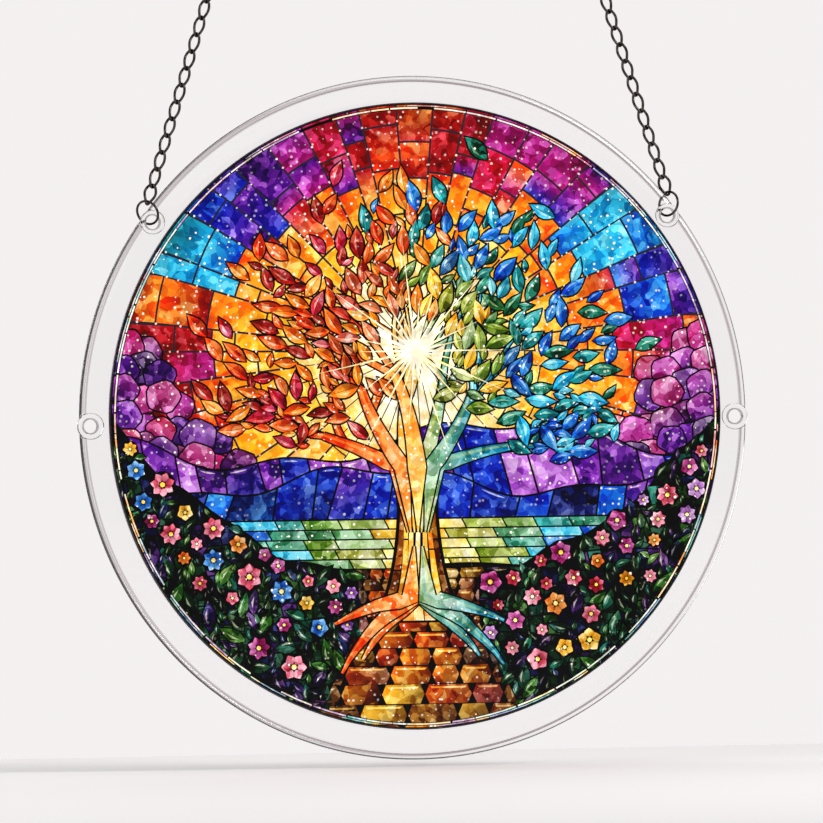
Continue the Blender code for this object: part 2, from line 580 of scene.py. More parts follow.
def ribbon(path, widths):
    """An outline round a path, as wide at each point as the list says."""
    left = []
    right = []
    for i, (x, y) in enumerate(path):
        before = path[max(0, i - 1)]
        after = path[min(len(path) - 1, i + 1)]
        dx, dy = after[0] - before[0], after[1] - before[1]
        size = hypot(dx, dy) or 1.0
        half = widths[i] / 2
        left.append((x - dy / size * half, y + dx / size * half))
        right.append((x + dy / size * half, y - dx / size * half))
    return right + left[::-1]


def circle_outline(place, radius, sides):
    return [at(place, radius, angle) for angle in turns(sides)]


SUN = (0.0, 19.0)
SKY_RINGS = (
    (166, (RUBY, ORANGE, MAGENTA)),
    (148, (CYAN, BLUE, TEAL)),
    (134, (COBALT, VIOLET, BLUE)),
    (118, (MAGENTA, VIOLET, PURPLE)),
    (103, (RUBY, CRIMSON, VIOLET)),
    (80, (RUBY, ORANGE, FLAME)),
    (66, (VIOLET, RUBY, CRIMSON)),
    (52, (MAGENTA, CRIMSON, ORANGE)),
    (40, (VIOLET, MAGENTA, COBALT)),
    (24, (CYAN, BLUE, TEAL)),
    (6, (COBALT, BLUE, VIOLET)),
    (-12, (MAGENTA, CRIMSON, ORANGE)),
)


def signed_degrees(angle):
    """The angle in degrees, from -180 to 180."""
    return (degrees(angle) + 180.0) % 360.0 - 180.0


def rim_colors(heading):
    """The colours of the outer sky panes in a direction."""
    for low, colors in SKY_RINGS:
        if heading >= low:
            return colors
    return (MAGENTA, VIOLET, ORANGE)


def rim_distance(angle):
    """How far the edge of the print is from the sun in a direction."""
    dx, dy = cos(angle), sin(angle)
    along = SUN[0] * dx + SUN[1] * dy
    return -along + sqrt(along * along + PRINT_RADIUS**2 - SUN[0] ** 2 - SUN[1] ** 2)


def arc_pane(place, low, high, near, far, steps, gap=0.0):
    """A pane between two directions and two distances from a place."""
    points = []
    for radius, order in ((near + gap, 1), (far - gap, -1)):
        turn = gap / max(radius, 1.0)
        for i in range(steps + 1)[::order]:
            points.append(at(place, radius, low + turn + (high - low - 2 * turn) * i / steps))
    return points


def draw_sky(art):
    """Rays of panes round the sun: white and gold, then orange and red, then many colours."""
    rays = 46
    beads = []
    edges = [tau * (i + art.spread(-0.2, 0.2)) / rays for i in range(rays)]
    edges.append(edges[0] + tau)
    for low, high in zip(edges, edges[1:]):
        middle = (low + high) / 2
        heading = signed_degrees(middle)
        rim = rim_distance(middle)
        outer = rim_colors(heading if heading > -90.0 else heading + 360.0)
        cuts = [share * rim + art.spread(-0.06, 0.06) * rim for share in (0.0, 0.36, 0.56, 0.7, 0.86)]
        cuts[0] = 7.0
        cuts.append(rim + 3.0)
        tones = [
            (GLOW, mix(CREAM, GOLD, art.spread(0.0, 0.8))),
            (mix(CREAM, GOLD, art.spread(0.2, 1.0)), art.pick((GOLD, ORANGE, GOLD))),
            (art.pick((GOLD, GOLD, ORANGE)), art.pick((FLAME, ORANGE, CRIMSON, ORANGE))),
            (art.pick(outer), art.pick(outer)),
            (art.pick(outer), shade(art.pick(outer), 0.75)),
        ]
        for n, (start, end) in enumerate(tones):
            near, far = cuts[n], cuts[n + 1]
            pane = arc_pane(SUN, low, high, near, far, 5, LEAD / 2 if n else LEAD / 4)
            art.add(pane, start, end, (at(SUN, near, middle), at(SUN, far, middle)))
        away = 30.0
        while away < rim - 2.0:
            bead = circle_outline(at(SUN, away, low), art.spread(0.22, 0.42), 7)
            beads.append((bead, mix(art.pick(outer), GLOW, 0.8)))
            away += art.spread(1.5, 8.0)
    art.add_over(beads)


def wave(x, waves):
    return sum(size * sin(x / length + shift) for size, length, shift in waves)


def draw_band(art, top, bottom, colors, pane_length, slant):
    """A band of land, cut across into slanted panes. Top and bottom give heights at x."""
    x = -BAND_REACH
    lean = slant
    slivers = []
    while x < BAND_REACH:
        step = pane_length * art.spread(0.6, 1.4)
        next_lean = slant * art.spread(0.4, 1.4)
        count = 6
        upper = [(x + step * i / count, top(x + step * i / count)) for i in range(count + 1)]
        feet = [x + lean + (step + next_lean - lean) * i / count for i in range(count + 1)]
        lower = [(foot, bottom(foot)) for foot in feet]
        lean = next_lean
        start, end = art.pick(colors), art.pick(colors)
        axis = ((x, upper[0][1]), (x + step, lower[-1][1]))
        art.add(grown(lower + upper[::-1], -LEAD / 2), start, end, axis)
        if art.random.random() < 0.6:
            sliver = [(px, py - 1.0) for px, py in ribbon(upper[1:5], [0.1, 0.5, 0.5, 0.1])]
            slivers.append((sliver, mix(start, GLOW, 0.6)))
        x += step
    art.add_over(slivers)


def lead_field(art, low_x, high_x, top, bottom):
    """Lead behind a group of panes, in small blocks, from its top line to its bottom line."""
    art.next_sheet()
    columns = max(1, round((high_x - low_x) / 4.0))
    edges = [low_x + (high_x - low_x) * column / columns for column in range(columns + 1)]
    for x0, x1 in zip(edges, edges[1:]):
        rows = max(1, ceil((top(x0) - bottom(x0)) / 6.0))
        for row in range(rows):
            corners = []
            for x, step in ((x0, row + 1), (x1, row + 1), (x1, row), (x0, row)):
                height = top(x) + LEAD / 2
                corners.append((x, height + (bottom(x) - height) * step / rows))
            art.lead(corners)
    art.next_sheet()


def draw_hill(art, height, waves, colors, pane_length, slant):
    """A far line of hills, waved about its height."""

    def top(x):
        return height + wave(x, waves)

    def bottom(x):
        return top(x) - 21.0

    lead_field(art, -FIELD, FIELD, top, bottom)
    draw_band(art, top, bottom, colors, pane_length, slant)


def draw_lake(art):
    """Rows of flat panes, cool at the sides, with the sun's light in the middle."""
    level = -30.0
    row_height = 2.9
    lead_field(art, -FIELD, FIELD, lambda x: level, lambda x: level - 18.0)
    for row in range(6):
        high = level - row * row_height
        low = high - row_height
        x = -BAND_REACH + art.spread(0.0, 8.0)
        while x < BAND_REACH:
            end = x + art.spread(7.0, 17.0)
            light = exp(-(((x + end) / 2 / 24.0) ** 2))
            cool = art.pick((TEAL, JADE, GRASS) if light > 0.2 else (TEAL, CYAN, JADE, BLUE))
            color = mix(cool, art.pick((GOLD, CREAM)), light)
            corners = [(x, high), (end, high), (end + 1.5, low), (x + 1.5, low)]
            pane = grown(corners, -LEAD / 2.6)
            art.add(pane, color, mix(color, GLOW, 0.3), (corners[3], corners[1]))
            x = end


def near_hill(side):
    """Height of the near bank at x. It rises to its side."""

    def top(x):
        rise = max(0.0, side * x - 8.0)
        return -47.0 + 0.0068 * rise * rise + wave(x, ((1.2, 6.0, side), (0.7, 2.9, 0.3)))

    return top


# The banks: how far the path keeps them apart, and the foot and reach of the ground
PATH_EDGE = 18.0
GROUND_REACH = 94.0


def draw_stone(art, x, top, length, height, light_reach):
    """A six-sided stone, warm near the path's middle. Gives its shine, if it has one."""
    warm = exp(-(((x + length / 2) / light_reach) ** 2))
    dark = art.pick((UMBER, UMBER, PURPLE, NAVY))
    base = mix(dark, art.pick((ORANGE, GOLD, FLAME, BROWN)), warm)
    inset = 0.22 * height
    start, end = x + inset, x + length - inset
    middle, foot = top - height / 2, top - height
    upper = [(start, top), (end, top + art.spread(-0.3, 0.3)), (x + length, middle)]
    corners = grown(upper + [(end, foot), (start, foot), (x, middle)], -LEAD / 4)
    art.add(corners, mix(base, GOLD, 0.3 * warm), mix(base, UMBER, 0.6), (corners[0], corners[3]))
    if art.random.random() >= 0.35 + 0.5 * warm:
        return []
    high, low = top - 0.7, top - 1.25
    shine = [(start + 0.4, high), (end - 0.4, high), (end - 1.0, low), (start + 0.8, low)]
    return [(shine, mix(base, CREAM, 0.45 + 0.4 * warm))]


def draw_ground(art):
    """The near ground: a path of stones under the tree, and the lead of the banks at its sides."""
    reach = 60.0
    level = -44.0
    lead_field(art, -reach, reach, lambda x: level + wave(x, ((0.8, 9.0, 0.0),)), lambda x: -GROUND_REACH)
    top = level - 0.5
    row = 0
    shines = []
    while top > 1.0 - GROUND_REACH:
        height = 3.0 + 0.16 * row * 2.2
        x = -reach + art.spread(-4.0, 0.0)
        while x < reach:
            length = height * art.spread(1.3, 2.6)
            shines += draw_stone(art, x, top, length, height, 17.0 + row)
            x += length
        top -= height
        row += 1
    art.add_over(shines)
    art.next_sheet()
    for side in (-1, 1):
        ends = sorted((side * PATH_EDGE, side * GROUND_REACH))
        lead_field(art, *ends, near_hill(side), bank_foot)


def bank_foot(x):
    """Height of the banks' lower end at x: at the path near the middle, and at the rim elsewhere."""
    return max(-GROUND_REACH, -61.0 - 2.1 * (abs(x) - PATH_EDGE))


def draw_blossoms(art, taken):
    """Round flowers of petals with a gold heart, on the banks."""
    flowers = []
    leads = []
    for _ in range(1500):
        side = art.pick((-1, 1))
        x = side * art.spread(20.0, 86.0)
        y = near_hill(side)(x) - abs(art.random.gauss(0.0, 9.0)) - 1.5
        radius = art.spread(1.8, 4.0)
        outline = circle_outline((x, y), radius + 0.3, 14)
        if on_bank(x, y, 87.0) and len(flowers) < 84 and art.claim(outline, taken):
            flowers.append((x, y, radius))
            leads.append(outline)
    art.lead_over(leads)
    art.next_sheet()
    for x, y, radius in flowers:
        colors = (PINK, CRIMSON, MAGENTA, LILAC) if x > 0 else (VIOLET, MAGENTA, PINK, BLUE)
        color = art.pick((GOLD, ORANGE) if art.random.random() < 0.16 else colors)
        petals = art.pick((5, 6, 7))
        turn = art.spread(0.0, tau)
        for angle in turns(petals):
            angle += turn
            petal = leaf_outline(radius * 0.74, radius * 4.3 / petals)
            petal = moved([(px + radius * 0.24, py) for px, py in petal], angle, (x, y))
            axis = ((x, y), at((x, y), radius, angle))
            art.add(petal, shade(color, 0.7), mix(color, GLOW, 0.3), axis)
        art.add(circle_outline((x, y), radius * 0.2, 8), CREAM)


def on_bank(x, y, rim):
    """True on the banks: below their top line, outside the path and inside the rim."""
    side = 1 if x > 0 else -1
    beside_path = abs(x) > PATH_EDGE + 1.0 + max(0.0, -60.0 - y) * 0.42
    return y < near_hill(side)(x) - 0.5 and beside_path and hypot(x, y) < rim


def leaf_pane(art, place, length, turn, color, light, taken, lead=0.4):
    """A leaf of two halves with a vein and a gleam, if there is room for it."""
    start = at(place, -length / 2, turn)
    tip = at(place, length / 2, turn)
    width = length * art.spread(0.4, 0.5)
    bend = art.spread(-0.5, 0.5)
    flat = leaf_outline(length, width, bend)
    outline = moved(flat, turn, start)
    if not art.claim(grown(outline, -0.45), taken):
        return []
    halves = []
    for side in (-1, 1):
        half = []
        for x, y in flat:
            vein = bend * sin(pi * x / length)
            half.append((x, y - 0.02 * length * side if side * (y - vein) > 0 else vein + 0.05 * side))
        halves.append(moved(half, turn, start))
    gleam = [(length * 0.25, width * 0.14), (length * 0.7, width * 0.1), (length * 0.45, width * 0.3)]
    return [(grown(outline, lead / 2 + 0.1), halves, moved(gleam, turn, start), color, light, (start, tip))]


def paint_leaves(art, leaves):
    art.lead_over([outline for outline, *_ in leaves])
    art.next_sheet()
    for _, halves, _, color, light, axis in leaves:
        for half, share in zip(halves, (0.0, 0.35)):
            art.add(half, shade(color, 0.72 + share), mix(color, light, 0.12 + share * 0.7), axis)
    art.add_over([(gleam, mix(color, GLOW, 0.6)) for _, _, gleam, color, *_ in leaves])


def draw_bank_panes(art):
    """Dark panes that show between the leaves of the banks."""
    size = 4.6
    art.next_sheet()
    for row in range(20):
        for column in range(42):
            corners = []
            for i, j in ((column, row), (column + 1, row), (column + 1, row + 1), (column, row + 1)):
                wobble = sin(i * 12.9898 + j * 78.233) * 1.1
                corners.append((-FIELD + i * size + wobble, -FIELD + j * size - wobble))
            x, y = (sum(values) / 4 for values in zip(*corners))
            if not on_bank(x, y + 2.5, GROUND_REACH):
                continue
            color = art.pick((PINE, PINE, JADE, NAVY, PURPLE, GRASS))
            art.add(grown(corners, -0.25), shade(color, 0.6), shade(color, 0.32), (corners[3], corners[1]))


def draw_bank_leaves(art, taken):
    """Leaves packed side by side on the banks, the large ones first."""
    leaves = []
    for tries, low, high in ((1500, 6.5, 9.0), (2500, 4.6, 6.2), (4500, 2.8, 4.2)):
        for _ in range(tries):
            x, y = art.spread(-93.0, 93.0), art.spread(-93.0, -8.0)
            if abs(x) < 16.0 or not on_bank(x, y, 91.0):
                continue
            color = shade(art.pick((PINE, PINE, PINE, JADE, GRASS, NAVY, PURPLE)), 0.72)
            light = shade(art.pick((CYAN, CREAM, GRASS, GRASS)), 0.7)
            turn = pi / 2 + art.random.gauss(0.0, 0.7)
            leaves += leaf_pane(art, (x, y), art.spread(low, high), turn, color, light, taken)
    paint_leaves(art, leaves)


def draw_orchard(art):
    """Round flowering bushes on the far shores, row in front of row."""
    for row in range(5, -1, -1):
        for odd in range(2):
            bushes = []
            for side in (-1, 1):
                for i in range(odd, 9, 2):
                    x = side * (93.0 - 5.6 * i + art.spread(-1.0, 1.0))
                    y = -13.0 + row * 7.4 + art.spread(-1.6, 1.6) - 1.3 * i
                    if abs(x) >= 44.0 + 7.0 * row + art.spread(-3.0, 3.0):
                        bushes.append((x, y, side, art.spread(4.4, 5.8)))
            paint_bushes(art, bushes)


def paint_bushes(art, bushes):
    panes = []
    art.next_sheet()
    for x, y, side, radius in bushes:
        inward = (88.0 - abs(x)) / 45.0 + art.spread(-0.25, 0.25)
        warm, cool = (PEACH, PINK, GOLD, MAGENTA), (MAGENTA, VIOLET, PURPLE, MAGENTA, VIOLET)
        color = art.pick(warm if inward > 0.65 else cool)
        light = mix(color, art.pick((PEACH, PINK, LILAC, GLOW)), 0.5)
        outline = []
        for angle in turns(18):
            bump = radius * (1.0 + 0.06 * cos(angle * 5.0 + x))
            outline.append((x + bump * cos(angle), y + bump * sin(angle) * 0.92))
        axis = ((x - side * radius, y + radius), (x, y - radius))
        art.lead(grown(outline, 0.25))
        panes.append((grown(outline, -0.25), light, shade(color, 0.85), axis))
    art.add_over(panes)


def branch_path(art, start, angle, length, curl):
    path = [start]
    steps = 7
    x, y = start
    for _ in range(steps):
        angle += curl / steps + art.spread(-0.06, 0.06)
        if start[1] > -40.0:
            angle = min(pi - 0.08, max(0.08, angle))
        x += cos(angle) * length / steps
        y += sin(angle) * length / steps
        path.append((x, y))
    return path, angle


def grow_branch(art, branches, start, angle, length, width, level):
    """Adds a branch and those that fork from it."""
    curl = art.spread(-0.5, 0.5)
    path, end_angle = branch_path(art, start, angle, length, curl)
    widths = [width * (1.0 - 0.55 * i / (len(path) - 1)) for i in range(len(path))]
    if level == 2:
        lower = [(start[0] * 0.5, start[1] - 19.0), (start[0] * 0.8, start[1] - 9.0)]
        branches.append((width, lower + path, [0.3, 0.5 * width] + widths, level))
    else:
        branches.append((width, path, widths, level))
    if level == 0:
        return
    for i in range(3 if level > 1 else 2):
        along = len(path) - 1 - (i % 2) * 2
        side = (-1) ** i if i else 0.15
        turn = end_angle + side * art.spread(0.35, 0.75)
        next_length = length * art.spread(0.62, 0.8)
        grow_branch(art, branches, path[along], turn, next_length, widths[along] * 0.8, level - 1)


def trunk_color(x):
    """White and gold in the middle, warmer to the left and cooler to the right."""
    share = min(1.0, abs(x) / 20.0) ** 0.8
    return mix(CREAM, FLAME, share) if x < 0 else mix(CREAM, PETROL, share)


def draw_tree(art):
    """A tree of life: roots, a trunk of long panes, forking branches and a round crown of leaves."""
    branches = []
    middle = ((1.9, 26.0, 4.6), (1.57, 28.0, 5.4), (1.24, 26.0, 4.6))
    boughs = ((2.75, 24.0, 4.4), (2.3, 26.0, 5.0)) + middle + ((0.84, 26.0, 5.0), (0.39, 24.0, 4.4))
    for angle, length, width in boughs:
        grow_branch(art, branches, (6.4 * cos(angle), -15.0), angle, length, width, 2)
    for side in (-1, 1):
        for angle, length, width in ((0.35, 30.0, 5.0), (0.12, 24.0, 5.2), (0.62, 22.0, 4.4)):
            heading = -angle if side > 0 else pi + angle
            path, _ = branch_path(art, (side * 2.5, -53.0 - 3.0 * angle), heading, length, side * -0.5)
            widths = [width * (1.0 - 0.85 * i / (len(path) - 1)) for i in range(len(path))]
            branches.append((width + 1.0, [(side * 1.2, -38.0)] + path, [0.3] + widths, 3))
    branches.sort(key=lambda item: item[0])
    draw_trunk(art)
    tips = []
    for width, path, widths, level in branches:
        art.lead_over([ribbon(path, [w + LEAD * 1.6 for w in widths])])
        start, end = path[0], path[-1]
        tone = trunk_color(end[0])
        art.add_over([(ribbon(path, widths), trunk_color(start[0]), tone, (start, end))])
        light = [(x - 0.18 * w, y + 0.18 * w) for (x, y), w in zip(path, widths)]
        art.add_over([(ribbon(light, [0.28 * w for w in widths]), mix(tone, CREAM, 0.5))])
        if level < 2:
            tips.extend(path[3:])
    draw_crown(art, tips)


TRUNK_FOOT = -60.0
TRUNK_HEIGHT = 48.0


def trunk_edge(y):
    """Half the trunk's width at a height."""
    share = (y - TRUNK_FOOT) / TRUNK_HEIGHT
    return 5.2 + 7.5 * (1.0 - share) ** 3 + 2.6 * max(0.0, share - 0.72) / 0.28


def draw_trunk(art):
    """A flared trunk of strips side by side, each cut into long panes."""
    rows = 16
    heights = [TRUNK_FOOT + TRUNK_HEIGHT * i / rows for i in range(rows + 1)]
    right = [(trunk_edge(y) + 0.4, y) for y in heights]
    art.lead_over([grown(right + [(-x, y) for x, y in right[::-1]], 0.4)])
    art.next_sheet()
    strips = 7
    for i in range(strips):
        low, high = 2.0 * i / strips - 1.0, 2.0 * (i + 1) / strips - 1.0
        middle = abs((low + high) / 2)
        sway = [1.2 * sin(y / 9.0 + i * 1.3) / strips * 2.0 for y in heights]
        start = 0
        while start < rows:
            end = min(rows, start + art.random.randint(5, 9))
            lines = []
            for edge, inside in ((low, i > 0), (high, i < strips - 1)):
                part = range(start, end + 1)
                lines.append([(trunk_edge(heights[n]) * edge + sway[n] * inside, heights[n]) for n in part])
            left, right = lines
            tone = mix(GLOW, BROWN if middle > 0.6 else GOLD, min(1.0, middle * 1.1 + 0.2))
            deep = mix(tone, art.pick((ORANGE, BROWN, GOLD)), 0.45)
            art.add(grown(right + left[::-1], -0.24), deep, tone, (left[0], left[-1]))
            start = end


def draw_crown(art, tips):
    """Leaves on the twigs and round the crown's edge: warm left, cool right, gold near the sun."""
    places = []
    for x, y in tips:
        for _ in range(4):
            places.append((x + art.random.gauss(0.0, 2.4), y + art.random.gauss(0.0, 2.4)))
    for _ in range(320):
        angle = radians(-28.0 + 236.0 * art.random.random())
        reach = 39.0 + art.random.gauss(0.0, 7.5)
        places.append((reach * 1.12 * cos(angle), 16.0 + reach * sin(angle)))
    art.random.shuffle(places)
    taken = set()
    leaves = []
    for low, high in ((7.0, 9.6), (5.0, 6.6), (3.6, 4.6)):
        for x, y in places:
            away = hypot(x - SUN[0], y - SUN[1])
            if y < -14.0 or away < 13.0:
                continue
            warmth = max(0.0, 1.0 - (away - 12.0) / 24.0)
            lean = x / 30.0 + art.random.gauss(0.0, 0.25)
            colors = (TEAL, BLUE, CYAN, BLUE, JADE)
            light = mix(CYAN, GLOW, 0.5)
            if lean < 0 or warmth > 0.35:
                colors = (FLAME, CRIMSON, RUBY, ORANGE, FLAME) if lean < 0 else (GRASS, JADE, GOLD)
                light = CREAM
            color = art.pick(colors)
            color = mix(color, art.pick((GOLD, CREAM)), 0.6 * warmth)
            turn = atan2(y + 6.0, x) + art.random.gauss(0.0, 0.6)
            leaves += leaf_pane(art, (x, y), art.spread(low, high), turn, color, light, taken, 0.5)
    paint_leaves(art, leaves)


def draw_star(art, color, rays, inner, lengths):
    """Thin rays round the sun in one outline, with the lengths in turn."""
    points = []
    for i, angle in enumerate(turns(rays)):
        points.append(at(SUN, lengths[i % len(lengths)] * art.spread(0.85, 1.15), angle))
        points.append(at(SUN, inner, angle + pi / rays))
    art.add_over([(points, color)])


def ring_part(inset, end, low, high):
    """A part of a ring between two distances in from the edge of the print."""
    steps = max(2, int((high - low) * 24))
    return arc_pane((0.0, 0.0), low, high, PRINT_RADIUS - inset, PRINT_RADIUS - end, steps)


def draw_border(art):
    """The edge of the print: a thin black line, and bright broken lines on dark inside it, painted highlights
    as of light caught on a bevelled edge.
    """
    starts = turns(72)
    art.next_sheet()
    for low, high in zip(starts, starts[1:] + [tau]):
        art.lead(ring_part(0.4, 0.0, low, high))
        art.lead(ring_part(1.75, 0.85, low, high))
    art.next_sheet()
    # The bright broken lines are painted highlights: dashes mixed toward GLOW, standing in for light on a
    # bevelled edge.
    for inset, end, share, light in ((1.5, 1.08, 0.93, 0.8), (0.78, 0.52, 0.4, 0.6)):
        angle = 0.0
        while angle < tau - 0.02:
            length = min(art.spread(0.02, 0.16), tau - angle)
            heading = signed_degrees(angle)
            colors = rim_colors(heading) if heading > -14.0 else (GOLD, TEAL, VIOLET, BLUE, ORANGE)
            base = art.pick(colors)
            if art.random.random() < share:
                part = ring_part(inset, end, angle, angle + length * 0.95)
                art.add(part, mix(base, GLOW, light * art.spread(0.7, 1.2)))
            angle += length


def printed_design():
    """The whole design, from the sky to the border."""
    art = Design(7)
    draw_sky(art)
    draw_orchard(art)
    draw_hill(art, -8.0, ((6.0, 23.0, 0.4), (2.2, 7.0, 1.0)), (VIOLET, COBALT, PURPLE, LILAC), 9.0, 5.0)
    draw_hill(art, -19.0, ((4.0, 17.0, 2.4), (1.6, 6.0, 0.0)), (COBALT, NAVY, BLUE, VIOLET), 10.0, -6.0)
    draw_lake(art)
    draw_ground(art)
    draw_bank_panes(art)
    taken = set()
    draw_blossoms(art, taken)
    draw_bank_leaves(art, taken)
    draw_star(art, GLOW, 44, 9.0, (34.0, 16.0, 24.0, 16.0))
    draw_tree(art)
    draw_star(art, mix(GLOW, CREAM, 0.3), 30, 3.6, (30.0, 14.0, 22.0, 16.0))
    draw_star(art, GLOW, 18, 2.8, (9.0, 6.0))
    draw_border(art)
    return art


# Printed disc


def printed_face():
    """Gloss print with a little light of its own: each pane's colour, mottled like hammered glass."""
    look = Look("printed_acrylic")
    pane = look.nodes.new("ShaderNodeVertexColor")
    pane.layer_name = "pane_color"
    pane_color = pane.outputs["Color"]
    to_flat = {"Vector": look.place(), "Rotation": (radians(90.0), 0.0, 0.0)}
    flat = look.add("Mapping", to_flat).outputs["Vector"]
    wobble = look.add("TexNoise", {"Vector": flat, "Scale": 420.0, "Detail": 2.0})
    bend = look.nodes.new("ShaderNodeVectorMath")
    bend.operation = "MULTIPLY_ADD"
    look.fill(bend, {0: wobble.outputs["Color"], 1: (0.002, 0.002, 0.002), 2: flat})
    bent = bend.outputs["Vector"]

    def cells(scale, vector):
        """Cells on the face: three chance values for each cell, and the distance from its middle."""
        node = look.nodes.new("ShaderNodeTexVoronoi")
        node.voronoi_dimensions = "2D"
        look.fill(node, {"Vector": vector, "Scale": scale})
        chances = look.add("SeparateColor", {"Color": node.outputs["Color"]}).outputs
        return chances, node.outputs["Distance"]

    def mottle(scale, low, high):
        chances, _ = cells(scale, bent)
        span = look.add("MapRange", {"Value": chances["Red"], "To Min": low, "To Max": high})
        return span.outputs["Result"]

    power = look.math("MULTIPLY", mottle(250.0, 0.65, 1.6), mottle(520.0, 0.55, 1.6))
    depth = look.add("Gamma", {"Color": pane_color, "Gamma": power})
    glass = look.nodes.new("ShaderNodeVectorMath")
    glass.operation = "SCALE"
    look.fill(glass, {0: depth.outputs["Color"], "Scale": mottle(400.0, 0.8, 1.35)})
    light = look.add("RGBToBW", {"Color": pane_color}).outputs["Val"]
    on_glass = look.math("MINIMUM", look.math("MULTIPLY", light, 5.0), 1.0)
    chances, from_middle = cells(640.0, flat)
    close = look.math("LESS_THAN", from_middle, look.math("MULTIPLY", chances["Blue"], 0.27))
    chosen = look.math("GREATER_THAN", chances["Green"], 0.66)
    glint = look.math("MULTIPLY", look.math("MULTIPLY", close, chosen), on_glass)
    mixed = look.nodes.new("ShaderNodeMix")
    mixed.data_type = "RGBA"
    look.fill(mixed, {"Factor": glint, "A": glass.outputs["Vector"], "B": (1.0, 0.93, 0.8, 1.0)})
    color = mixed.outputs["Result"]
    look.fill(look.shader, {"Base Color": color, "Emission Color": color, "Emission Strength": 0.15})
    look.fill(look.shader, {"Roughness": 0.35, "Specular IOR Level": 0.12})
    look.fill(look.shader, {"Coat Weight": 0.08, "Coat Roughness": 0.05})
    return look.material


def print_edge():
    """The dark rim of the print, glossy, with a faint unevenness."""
    dark, light = (0.0, (0.006, 0.005, 0.009)), (1.0, (0.03, 0.024, 0.04))
    look, _ = speckled("print_edge", 700.0, 2.0, dark, light)
    look.fill(look.shader, {"Roughness": 0.12})
    return look.material


def print_layers(art):
    """Each outline with its layer: the lowest one above all the earlier sheets that it covers."""
    tops = {}
    result = []
    waiting = {}
    sheet = 0
    limit = PRINT_RADIUS - 0.05
    for outline, start, end, axis, own_sheet in art.shapes:
        if own_sheet != sheet:
            tops.update(waiting)
            waiting = {}
            sheet = own_sheet
        if all(hypot(x, y) > limit for x, y in outline):
            continue
        shares = [min(1.0, limit / max(hypot(x, y), 0.001)) for x, y in outline]
        kept = [(x * share, y * share) for (x, y), share in zip(outline, shares)]
        if signed_area(kept) < 0.0:
            kept.reverse()
        cells = covered_cells(kept)
        layer = 1 + max(tops.get(cell, 0) for cell in cells)
        for cell in cells:
            waiting[cell] = max(layer, waiting.get(cell, 0))
        result.append((kept, start, end, axis, layer))
    return result


def print_body(depth):
    """Points and faces of the disc under the print, and the heights of its two flat faces along Y."""
    back = -DISC_THICK / 2 - PICTURE_GAP - depth
    front = -DISC_THICK / 2 - PICTURE_GAP - PICTURE_THICK + depth
    bevel = PICTURE_RADIUS - PRINT_RADIUS
    profile = []
    for step in range(4):
        angle = radians(30.0 * step)
        profile.append((PRINT_RADIUS + bevel * sin(angle), front + bevel * (1.0 - cos(angle))))
    profile += [(radius, front + back - y) for radius, y in profile[::-1]]
    sides = 288
    points = []
    for radius, y in profile:
        points += [(x, y, z) for x, z in circle_outline((0.0, 0.0), radius, sides)]
    faces = [face[:1] + face[:0:-1] for face in band_faces(len(profile), sides)]
    last = len(points) - sides
    faces += [tuple(range(sides)), tuple(range(last, last + sides))[::-1]]
    return points, faces, front, back


def make_picture_disc(printed, edge):
    """A dark body with the design in thin layers on its front, and mirrored on its back."""
    shapes = print_layers(printed_design())
    depth = LAYER * (max(layer for *_, layer in shapes) + 1)
    points, faces, front, back = print_body(depth)
    body_faces = len(faces)
    colors = []
    for y_start, side in ((front, -1), (back, 1)):
        for outline, start, end, axis, layer in shapes:
            y = y_start + side * layer * LAYER
            first = len(points)
            points.extend((u, y, v) for u, v in outline)
            numbers = tuple(range(first, len(points)))
            faces.append(numbers if side < 0 else numbers[::-1])
            corner_colors = [pane_color(u, v, start, end, axis) for u, v in outline]
            colors.extend(corner_colors if side < 0 else corner_colors[::-1])
    mesh = bpy.data.meshes.new("picture_disc_print")
    middle = Vector((0.0, 0.0, CENTRE_Z + PICTURE_RAISE))
    mesh.from_pydata([(Vector(point) + middle) * MM for point in points], [], faces)
    disc = in_scene("picture_disc_print", mesh)
    smooth(disc, 25.0)
    mesh.materials.append(printed)
    mesh.materials.append(edge)
    painted = mesh.color_attributes.new("pane_color", "FLOAT_COLOR", "CORNER")
    first_corner = mesh.polygons[body_faces].loop_start
    flat = [0.0, 0.0, 0.0, 1.0] * first_corner
    for color in colors:
        flat.extend((*color, 1.0))
    painted.data.foreach_set("color", flat)
    for polygon in mesh.polygons[:body_faces]:
        polygon.material_index = 1
    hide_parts("picture_disc")
    return disc


def pane_color(u, v, start, end, axis):
    """The colour of a pane at a point: from start to end along the axis, or black for lead."""
    if start is None:
        return (0.0, 0.0, 0.0)
    if axis is None:
        return linear(start)
    along = (axis[1][0] - axis[0][0], axis[1][1] - axis[0][1])
    size = along[0] ** 2 + along[1] ** 2 or 1.0
    share = ((u - axis[0][0]) * along[0] + (v - axis[0][1]) * along[1]) / size
    return linear(mix(start, end, min(1.0, max(0.0, share))))


# Set and camera


def set_material(name, color, glow):
    """A pale matt surface with a little light of its own, as a studio lamp gives it."""
    look = Look(name)
    pale = (*color, 1.0)
    settings = {"Base Color": pale, "Roughness": 0.7, "Emission Color": pale, "Emission Strength": glow}
    look.fill(look.shader, settings)
    return look.material


